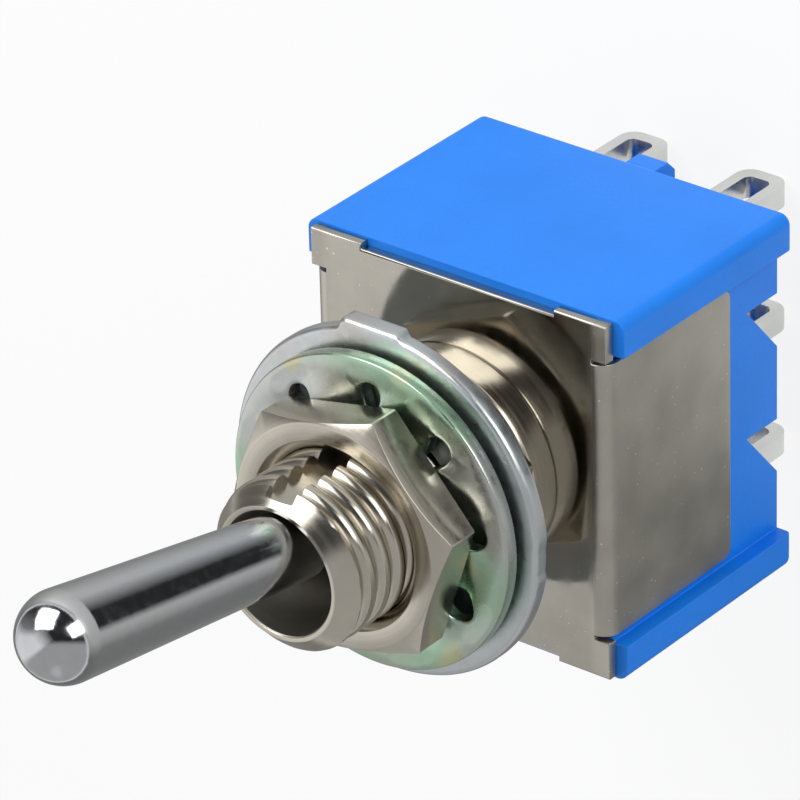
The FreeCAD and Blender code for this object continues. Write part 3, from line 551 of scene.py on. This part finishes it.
class SWITCH_OT_lever(bpy.types.Operator):
    """Turn the chromed lever with its ball and stem"""
    bl_idname = "switch.lever"
    bl_label = "Lever"

    def execute(self, context):
        ball, neck, stem, stem_end = 2.22 * MM, 0.95 * MM, 1.0 * MM, 8.6 * MM
        shoulder, root, tip, reach = 3.5 * MM, 1.2 * MM, 1.53 * MM, 15.1 * MM
        neck_shown, neck_fillet, root_edge, stem_edge = 0.6 * MM, 0.08 * MM, 0.2 * MM, 0.12 * MM
        ball_low = math.degrees(math.asin(math.sqrt(ball ** 2 - stem ** 2) / ball))
        ball_high = math.degrees(math.asin(math.sqrt(ball ** 2 - neck ** 2) / ball))
        below = soften([(0, -stem_end), (stem, -stem_end), (stem, -math.sqrt(ball ** 2 - stem ** 2))],
                       stem_edge)
        profile = [tuple(point) for point in below[:-1]]
        profile += arc((0, 0), ball, -ball_low, ball_high, 28)
        handle = soften([(neck, shoulder - neck_shown), (neck, shoulder), (root, shoulder), (tip, reach)],
                        [0, neck_fillet, root_edge, 0], 6)
        profile += [tuple(point) for point in handle]
        profile += arc((0, reach), tip, 0, 90, 32)[1:]
        profile[0], profile[-1] = (0, profile[0][1]), (0, profile[-1][1])
        lever = lathe("chromed_lever", profile)
        lever.data.transform(lever_tilt_matrix())
        fit(lever, "lever", polished_chrome(), "chromed_brass", "lever")
        return {"FINISHED"}


def thread_height(phase, crest, depth):
    """Radius of the thread at a share of its pitch: a broad rounded crest between narrow roots."""
    away, breadth = 2 * abs(phase - round(phase)), 2.6
    return crest - depth * away ** breadth


class SWITCH_OT_bushing(bpy.types.Operator):
    """Cut the threaded bushing with its collar, bore and keyway"""
    bl_idname = "switch.bushing"
    bl_label = "Bushing"

    def execute(self, context):
        sizes = context.scene.switch_sizes
        low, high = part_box("bushing")
        collar, collar_top = 3.95 * MM, 1.25 * MM
        shank, swage, plate = 2.75 * MM, 3.3 * MM, -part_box("case")[1].z
        seat, run_out, break_edge = 2.3 * MM, 0.5 * MM, 0.05 * MM
        groove_pitch, groove_depth = 0.2 * MM, 0.014 * MM
        swage_edge, collar_edge, foot, rises = 0.1 * MM, 0.08 * MM, 0.2 * MM, 16
        pitch, crest, top = sizes.thread_pitch, sizes.thread_radius, high.z
        slope = (crest - sizes.mouth_radius) / sizes.mouth_chamfer
        columns = 144
        turns = [math.tau * column / columns for column in range(columns + 1)]
        start = soften([(seat, low.z), (swage, low.z), (swage, -plate), (shank, -plate), (shank, 0),
                        (collar, 0), (collar, collar_top), (crest - foot, collar_top)],
                       [0, swage_edge, 0, 0, 0, collar_edge, foot, 0], 5)
        rows = turned(start, turns)
        steps = [step / rises - 0.5 for step in range(rises)]
        first = math.floor(collar_top / pitch) - 2
        last = math.ceil(top / pitch) + 1
        for turn in range(first, last):
            for phase in steps:
                row = []
                for t in turns:
                    z = min(max((turn + phase + t / math.tau) * pitch, collar_top), top)
                    share = z / pitch - t / math.tau
                    depth = sizes.thread_depth * min(max((z - collar_top) / run_out, 0), 1)
                    r = thread_height(share, crest, depth)
                    r = min(r, sizes.mouth_radius + (top - z) * slope)
                    row.append((r * math.cos(t), r * math.sin(t), z))
                rows.append(row)
        bore_top = PIVOT.z + math.sqrt(seat ** 2 - sizes.bore_radius ** 2)
        inner = soften([(sizes.mouth_radius, top), (sizes.bore_radius + break_edge, top),
                        (sizes.bore_radius, top - break_edge), (sizes.bore_radius, bore_top)],
                       [0, break_edge / 2, break_edge / 2, 0], 3)
        inner = [tuple(point) for point in inner[1:-1]]
        grooves = 2 * round((top - break_edge - bore_top) / groove_pitch)
        for step in range(1, grooves + 1):
            z = top - break_edge - (top - break_edge - bore_top) * step / grooves
            inner.append((sizes.bore_radius - groove_depth * (step % 2), z))
        seat_turn = math.degrees(math.atan2(bore_top - PIVOT.z, sizes.bore_radius))
        inner += arc((0, PIVOT.z), seat, seat_turn, 0, 8)[1:]
        bushing = grid("threaded_bushing", rows + turned(inner, turns))
        half, floor = sizes.keyway_width / 2, sizes.keyway_floor
        cutter = prism("keyway_cutter", [(-half, floor), (half, floor), (half, collar), (-half, collar)],
                       collar_top, top + MM)
        combined(bushing, [cutter], "DIFFERENCE")
        fit(bushing, "housing", plated_brass(), "nickel_plated_brass", "bushing", sharp=32)
        return {"FINISHED"}


def hexagon_columns(flats, corner, turn):
    """Angles and radii round a hexagon with rounded corners, closer together at the corners."""
    half, side = flats / 2, math.radians(30)
    centre = (half - corner) / math.cos(side)
    edge = math.atan2(corner * math.sin(side), centre + corner * math.cos(side))
    near = [edge * step / 4 for step in range(5)]
    far = [edge + (side - edge) * step / 8 for step in range(1, 9)]
    radii = [centre * math.cos(a) + math.sqrt(corner ** 2 - (centre * math.sin(a)) ** 2) for a in near]
    radii += [half / math.cos(side - a) for a in far]
    angles = near + far
    columns = []
    for index in range(6):
        middle = math.radians(60) * index + turn
        for a, r in list(zip(angles, radii))[:0:-1]:
            columns.append((middle - a, r))
        for a, r in list(zip(angles, radii))[:-1]:
            columns.append((middle + a, r))
    columns.append(columns[0])
    return columns


class SWITCH_OT_nuts(bpy.types.Operator):
    """Make the two hexagon nuts"""
    bl_idname = "switch.nuts"
    bl_label = "Hexagon nuts"

    def execute(self, context):
        sizes = context.scene.switch_sizes
        material = plated_brass()
        hole, sink, soft, hole_edge = 2.98 * MM, 0.35 * MM, 0.05 * MM, 0.02 * MM
        slope, least = math.tan(math.radians(30)), 0.01 * MM
        for node, turn in (("front_nut", 12), ("rear_nut", 22)):
            low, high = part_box(node)
            tall = high.z - low.z
            sections = []
            for angle, r in hexagon_columns(sizes.nut_flats, sizes.nut_corner, math.radians(turn)):
                fall = max((r - sizes.nut_face_radius) * slope, least)
                section = soften([(hole, 0), (r, 0), (r, tall - fall), (sizes.nut_face_radius, tall),
                                  (hole + sink, tall), (hole, tall - sink)],
                                 [hole_edge, soft, soft / 2, soft, soft, soft / 2], 3, closed=True)
                sections.append([(p[0] * math.cos(angle), p[0] * math.sin(angle), low.z + p[1])
                                 for p in section])
            nut = grid(node + "_hexagon", list(zip(*sections)))
            fit(nut, "housing", material, "nickel_plated_brass", node, sharp=50)
        return {"FINISHED"}


def between(value, stops):
    """Read a value off a line of (place, reading) stops."""
    for (low, start), (high, end) in zip(stops, stops[1:]):
        if value <= high:
            return start + (end - start) * (value - low) / (high - low)
    return stops[-1][1]


def ease(value, start, end):
    """A smooth step from 0 at start to 1 at end."""
    share = min(max((value - start) / (end - start), 0), 1)
    return share * share * (3 - 2 * share)


def turn_about(x, y, turn):
    """A point turned about the Z axis."""
    return Vector((x * math.cos(turn) - y * math.sin(turn), x * math.sin(turn) + y * math.cos(turn)))


class SWITCH_OT_tooth_washer(bpy.types.Operator):
    """Stamp the lock washer with its twisted inner teeth"""
    bl_idname = "switch.tooth_washer"
    bl_label = "Lock washer"

    def outline(self, sizes, tip, phase):
        """The washer's inner edge from the middle of the first tooth, one list of points for each tooth."""
        rim, wide, sector = sizes.washer_rim, sizes.tooth_width / 2, math.tau / sizes.tooth_count
        root = rim * math.cos(math.radians(2))
        tip_edge, gap_edge, stride = 0.18 * MM, 0.6 * MM, 0.2 * MM
        corners, radii = [], []
        for index in range(sizes.tooth_count):
            turn = phase + index * sector
            gap = rim * math.sin(sector / 2) - wide
            corners += [turn_about(tip, 0, turn), turn_about(tip, wide, turn),
                        turn_about(root, -gap, turn + sector / 2), turn_about(root, gap, turn + sector / 2),
                        turn_about(tip, -wide, turn + sector)]
            radii += [0, tip_edge, gap_edge, gap_edge, tip_edge]
        smooth = soften(corners, radii, 7, closed=True)
        points = []
        for start, end in zip(smooth, smooth[1:] + smooth[:1]):
            parts = max(1, round((end - start).length / stride))
            points += [start.lerp(end, part / parts) for part in range(parts)]
        return points

    def execute(self, context):
        sizes = context.scene.switch_sizes
        low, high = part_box("tooth_washer")
        outer, rim, half = sizes.washer_radius, sizes.washer_rim, 0.275 * MM
        tip, middle, edge = 3.10 * MM, (low.z + high.z) / 2, 0.09 * MM
        sector, phase = math.tau / sizes.tooth_count, math.radians(-12)
        twisted, level = rim - 0.75 * MM, rim - 0.02 * MM
        points = self.outline(sizes, tip, phase)
        total = len(points)
        travelled = [0.0]
        for start, end in zip(points, points[1:] + points[:1]):
            travelled.append(travelled[-1] + (end - start).length)
        per_tooth = travelled[-1] / sizes.tooth_count
        stops = ((0, 0), (0.15, 0.32), (0.42, 0.6), (0.5, 1))

        def height(place):
            r, t = place.length, math.atan2(place.y, place.x) - phase
            t -= sector * round(t / sector)
            share = 1 - ease(r, twisted, level)
            return r * math.sin(t) * math.tan(sizes.tooth_twist * share)

        arcs = [math.radians(90 * step / 3) for step in range(4)]
        sections = []
        for index, point in enumerate(points):
            along = (points[(index + 1) % total] - points[index - 1]).normalized()
            side = Vector((along.y, -along.x))
            teeth, share = divmod(travelled[index] / per_tooth + 0.5, 1)
            share -= 0.5
            lean = math.copysign(between(abs(share), stops), share) * sector / 2
            away = turn_about(1, 0, phase + teeth * sector + lean)
            inset, reach = point + side * edge, away * (outer - edge)
            section = [(inset - side * edge * math.cos(a), half - edge + edge * math.sin(a)) for a in arcs]
            section += [(inset.lerp(reach, step / 6), half) for step in range(1, 6)]
            section += [(reach + away * edge * math.cos(a), half - edge + edge * math.sin(a))
                        for a in reversed(arcs)]
            section += [(place, -h) for place, h in reversed(section)]
            sections.append([(p.x, p.y, middle + h + height(p)) for p, h in section])
        sections.append(sections[0])
        washer = grid("internal_tooth_washer", list(zip(*sections)))
        fit(washer, "housing", passivated_zinc(), "yellow_zinc_steel", "tooth_washer", sharp=60)
        return {"FINISHED"}


class SWITCH_OT_locking_ring(bpy.types.Operator):
    """Stamp the keyed locking ring and bend its tab"""
    bl_idname = "switch.locking_ring"
    bl_label = "Locking ring"

    def execute(self, context):
        sizes = context.scene.switch_sizes
        low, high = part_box("locking_ring")
        bore, radius, thick = 3.10 * MM, sizes.ring_radius, 0.65 * MM
        top, edge = high.z, sizes.ring_edge
        base = top - thick
        tab_left, tab_right, tab_out = -1.5 * MM, 0.5 * MM, 6.25 * MM
        left_bend, right_bend, bend = 0.28 * MM, 0.34 * MM, 0.02 * MM
        bore_edge, shelf_edge, tab_edge, back_edge = 0.05 * MM, 0.05 * MM, 0.08 * MM, 0.1 * MM
        key_half, key_in, key_out, key_sunk = 0.43 * MM, 2.67 * MM, 0.3 * MM, 0.03 * MM
        nick_starts, nick_full, nick_fades, nick_ends = -9, -7, 0, 6
        columns, least, least_rise = 288, 1e-6, 0.5
        sections = []
        for column in range(columns):
            turn = math.tau * column / columns
            x, y = radius * math.cos(turn), radius * math.sin(turn)
            tab = 0.0
            if y > 0:
                tab = ease(x, tab_left - left_bend, tab_left + bend)
                tab *= 1 - ease(x, tab_right - bend, tab_right + right_bend)
            degrees = math.degrees(turn) - 360 * (turn > math.pi)
            nick = ease(degrees, nick_starts, nick_full) * (1 - ease(degrees, nick_fades, nick_ends))
            rise = max(math.sin(turn), least_rise)
            flat = tab_out / rise
            out = radius + (flat - radius) * tab - sizes.ring_nick * nick
            shelf = out - thick / rise
            drop = (base - low.z) * tab
            line = [(bore, base), (shelf, base), (shelf + bend, base - drop), (out, base - drop),
                    (out, top), (bore, top)]
            section = soften(line, [bore_edge, shelf_edge * tab + least, tab_edge * tab + least, edge, edge,
                                    back_edge], 5, closed=True)
            sections.append([(p[0] * math.cos(turn), p[0] * math.sin(turn), p[1]) for p in section])
        sections.append(sections[0])
        ring = grid("keyed_locking_ring", list(zip(*sections)))
        key = prism("key", [(-key_half, key_in), (key_half, key_in), (key_half, bore + key_out),
                            (-key_half, bore + key_out)], base + key_sunk, top - key_sunk)
        combined(ring, [key], "UNION")
        fit(ring, "housing", bright_zinc(), "blue_zinc_steel", "locking_ring", sharp=45)
        return {"FINISHED"}


class SWITCH_OT_case(bpy.types.Operator):
    """Mould the blue case"""
    bl_idname = "switch.case"
    bl_label = "Case"

    def execute(self, context):
        case = from_node("moulded_case", "case", context.scene.switch_sizes.moulded_edge)
        fit(case, "housing", blue_moulding(), "blue_moulding", "case")
        return {"FINISHED"}


class SWITCH_OT_frame_plate(bpy.types.Operator):
    """Bend the plated frame over the case"""
    bl_idname = "switch.frame_plate"
    bl_label = "Frame plate"

    def execute(self, context):
        # The blow of the press rounds the plate's two long upper edges most.
        plate = from_node("bent_frame", "frame", context.scene.switch_sizes.sheet_edge, weigh=struck_edge)
        fit(plate, "housing", plated_sheet(), "nickel_plated_steel", "frame")
        return {"FINISHED"}


class SWITCH_OT_terminals(bpy.types.Operator):
    """Dip the six solder lugs in tin and set their contact rivets"""
    bl_idname = "switch.terminals"
    bl_label = "Solder lugs"

    def execute(self, context):
        tin = dipped_tin()
        silver = plain_metal("bright_silver", tuple(context.scene.switch_colours.silver), 0.18, 0.32)
        edge = context.scene.switch_sizes.tinned_edge
        for side in SIDES:
            for place in ("common", "upper", "lower"):
                node = f"{place}_terminal_{side}"
                lug = from_node(f"{place}_lug_{side}", node, edge, steps=4)
                fit(lug, "housing", tin, "tinned_brass", node)
            for place in ("upper", "lower"):
                node = f"{place}_contact_{side}"
                fit(from_node(f"{place}_rivet_{side}", node, 0.05 * MM), "housing", silver,
                    "silver_contact", node)
        return {"FINISHED"}


class SWITCH_OT_mechanism(bpy.types.Operator):
    """Finish the yoke, plungers, springs and rockers inside the case"""
    bl_idname = "switch.mechanism"
    bl_label = "Mechanism"

    def coil(self, side, wire):
        """The plunger's spring, a copy of the imported one that rides with the lever."""
        node, joint = f"plunger_spring_{side}", JOINTS[f"plunger_{side}_slide"]
        build = bmesh.new()
        build.from_mesh(frame["nodes"][node].data)
        spring = fit(new_mesh(f"plunger_coil_{side}", build), "lever", wire, "spring_steel", node)
        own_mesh(spring)

    def execute(self, context):
        palette = context.scene.switch_colours
        # Stamped and turned brass, bright where it slides.
        brass = plain_metal("worn_brass", tuple(palette.brass), 0.22, 0.38)
        # Drawn spring wire: dark grey and half bright.
        wire = plain_metal("drawn_spring_wire", tuple(palette.spring_steel), 0.25, 0.4)
        fit(from_node("moulded_yoke", "yoke", 0.08 * MM), "lever", dark_moulding(), "dark_moulding", "yoke")
        for side in SIDES:
            fit(from_node(f"plunger_pin_{side}", f"plunger_{side}", 0.03 * MM), f"plunger_{side}", brass,
                "brass", f"plunger_{side}")
            fit(from_node(f"contact_rocker_{side}", f"rocker_{side}", 0.05 * MM), f"rocker_{side}", brass,
                "brass", f"rocker_{side}")
            self.coil(side, wire)
        return {"FINISHED"}


def soft_lamp(name, way, distance, size, power):
    """A rectangular soft lamp that faces the switch from a direction."""
    data = bpy.data.lights.new(name, "AREA")
    data.shape, data.size, data.size_y, data.energy = "RECTANGLE", size[0], size[1], power
    lamp = bpy.data.objects.new(name, data)
    way = Vector(way).normalized()
    lamp.location = way * distance
    lamp.rotation_euler = way.to_track_quat("Z", "Y").to_euler()
    bpy.context.scene.collection.objects.link(lamp)


def round_card(name, inside, outside, height, material):
    """A flat ring of the stage, from its radii in millimetres, lying at a height."""
    card = lathe(name, [(inside * MM, 0), (outside * MM, 0)])
    card.location.z = height
    card.data.materials.append(material)
    return card


def white_paper(base):
    # White paper: it shows almost pure white, and still darkens a little where the switch shades it.
    material, tree, shader = finish_named("white_paper")
    shader.inputs["Base Color"].default_value = (*base, 1)
    shader.inputs["Roughness"].default_value = 0.9
    rays = add(tree, "LightPath").outputs
    seen = rays["Is Camera Ray"]
    for kind in ("Is Glossy Ray", "Is Transmission Ray"):
        seen = add(tree, "Math", {0: seen, 1: rays[kind]}, operation="MAXIMUM").outputs["Value"]
    glowing = 0.85
    share = add(tree, "Math", {0: seen, 1: glowing}, operation="MULTIPLY")
    glow = add(tree, "Emission", {"Color": (1, 1, 1, 1), "Strength": 1.0})
    mixed = add(tree, "MixShader", {0: share.outputs["Value"], 1: shader.outputs["BSDF"],
                                    2: glow.outputs["Emission"]})
    tree.links.new(mixed.outputs["Shader"], tree.nodes["Material Output"].inputs["Surface"])
    return material


def contrast_paper(paper, dark):
    # Paper that is grey to the left, paler to the right and behind, with a dark patch near the switch.
    material, tree, shader = finish_named("grey_paper_with_dark_patch")
    place = add(tree, "TexCoord").outputs["Object"]
    parts = add(tree, "SeparateXYZ", {"Vector": place}).outputs
    radius = add(tree, "VectorMath", {0: place}, operation="LENGTH").outputs["Value"]
    bearing = add(tree, "Math", {0: parts["Y"], 1: parts["X"]}, operation="ARCTAN2").outputs["Value"]
    bearing = add(tree, "Math", {0: bearing}, operation="DEGREES").outputs["Value"]
    lit_stops = ((-180, 0.36), (-35, 0.36), (-5, 0.72), (125, 0.72), (180, 0.36))
    patch_stops = ((-180, 0), (2, 0), (18, 1), (58, 1), (108, 0))
    patch_fades, patch_ends = 29 * MM, 34 * MM
    lit = steps_of(tree, bearing, -180, 180, lit_stops)
    patch = steps_of(tree, bearing, -180, 180, patch_stops)
    near = span(tree, radius, patch_fades, patch_ends, 1, 0)
    share = add(tree, "Math", {0: patch, 1: near}, operation="MULTIPLY").outputs["Value"]
    ground = blended(tree, lit, (0, 0, 0), paper)
    tree.links.new(blended(tree, share, ground, dark), shader.inputs["Base Color"])
    shader.inputs["Roughness"].default_value = 0.9
    return material


def light_surround(scene, studio):
    """A bright screen to the left of the switch, a pale wall below the picture, a dim room."""
    world = bpy.data.worlds.new("soft_surround")
    scene.world = world
    world.use_nodes = True
    tree = world.node_tree
    way = add(tree, "TexCoord").outputs["Generated"]
    facing = add(tree, "VectorMath", {0: way, 1: MIRRORED_UP}, operation="DOT_PRODUCT")
    across = add(tree, "VectorMath", {0: way, 1: MIRRORED_ACROSS}, operation="DOT_PRODUCT")
    low = add(tree, "VectorMath", {0: way, 1: PICTURE_DOWN}, operation="DOT_PRODUCT")
    screen = span(tree, facing.outputs["Value"], 0.25, 0.8, 0, studio.surround)
    bands = ((-0.73, 0.9), (-0.55, 0.5), (-0.3, 0.4), (-0.03, 0.42), (0.1, 1), (0.55, 0.95), (0.73, 0.32))
    falling = steps_of(tree, across.outputs["Value"], -1, 1, bands)
    screen = add(tree, "Math", {0: screen, 1: falling}, operation="MULTIPLY").outputs["Value"]
    wall = span(tree, low.outputs["Value"], 0.14, 0.32, studio.dusk, studio.wall)
    backdrop = tree.nodes["Background"]
    backdrop.inputs["Color"].default_value = (1, 1, 1, 1)
    strength = add(tree, "Math", {0: screen, 1: wall}, operation="MAXIMUM").outputs["Value"]
    tree.links.new(strength, backdrop.inputs["Strength"])


class SWITCH_OT_stage(bpy.types.Operator):
    """Set the floor, the soft light and the camera"""
    bl_idname = "switch.stage"
    bl_label = "Stage"

    def execute(self, context):
        scene, studio = context.scene, context.scene.switch_studio
        palette = scene.switch_colours
        scene.view_settings.view_transform = "Standard"
        round_card("floor", 0, 700, FLOOR_Z, white_paper(tuple(palette.floor)))
        # Only mirrors show this card: the camera, the floor and the shadows don't.
        paper = contrast_paper(tuple(palette.card), tuple(palette.dark_card))
        card = round_card("contrast_card", 11, 260, FLOOR_Z + 0.2 * MM, paper)
        card.visible_camera = card.visible_diffuse = card.visible_shadow = False
        light_surround(scene, studio)
        soft_lamp("left_lamp", (-0.32, 0.78, 0.53), 0.2, (0.16, 0.16), studio.key)
        soft_lamp("right_lamp", (0.80, 0.66, 0.16), 0.2, (0.10, 0.15), studio.side)
        right = (CAMERA_RIGHT - CAMERA_BACK * CAMERA_RIGHT.dot(CAMERA_BACK)).normalized()
        up = CAMERA_BACK.cross(right)
        data = bpy.data.cameras.new("photo_view")
        data.lens, data.sensor_width, data.clip_start, data.clip_end = studio.lens, 36.0, 0.005, 5.0
        camera = bpy.data.objects.new("photo_view", data)
        place = Matrix((right, up, CAMERA_BACK)).transposed().to_4x4()
        place.translation = CAMERA_PLACE
        camera.matrix_world = place
        scene.collection.objects.link(camera)
        scene.camera = camera
        return {"FINISHED"}


OPERATORS = (
    SWITCH_OT_case, SWITCH_OT_frame_plate, SWITCH_OT_bushing, SWITCH_OT_nuts, SWITCH_OT_tooth_washer,
    SWITCH_OT_locking_ring, SWITCH_OT_lever, SWITCH_OT_terminals, SWITCH_OT_mechanism, SWITCH_OT_stage,
)


class SWITCH_PT_panel(bpy.types.Panel):
    """Lists the pieces of the switch"""
    bl_idname = "SWITCH_PT_panel"
    bl_label = "Panel toggle switch"
    bl_space_type = "VIEW_3D"
    bl_region_type = "UI"
    bl_category = "Switch"

    def draw(self, context):
        for operator in OPERATORS:
            self.layout.operator(operator.bl_idname)


CLASSES = (SwitchSizes, SwitchColours, StudioSettings, *OPERATORS, SWITCH_PT_panel)
GROUPS = {"switch_sizes": SwitchSizes, "switch_colours": SwitchColours, "switch_studio": StudioSettings}


def register():
    for item in CLASSES:
        bpy.utils.register_class(item)
    for name, group in GROUPS.items():
        setattr(bpy.types.Scene, name, PointerProperty(type=group))


def unregister():
    for name in GROUPS:
        delattr(bpy.types.Scene, name)
    for item in reversed(CLASSES):
        bpy.utils.unregister_class(item)


def main():
    register()
    for operator in OPERATORS:
        group, name = operator.bl_idname.split(".")
        getattr(getattr(bpy.ops, group), name)()


if __name__ == "__main__":
    main()
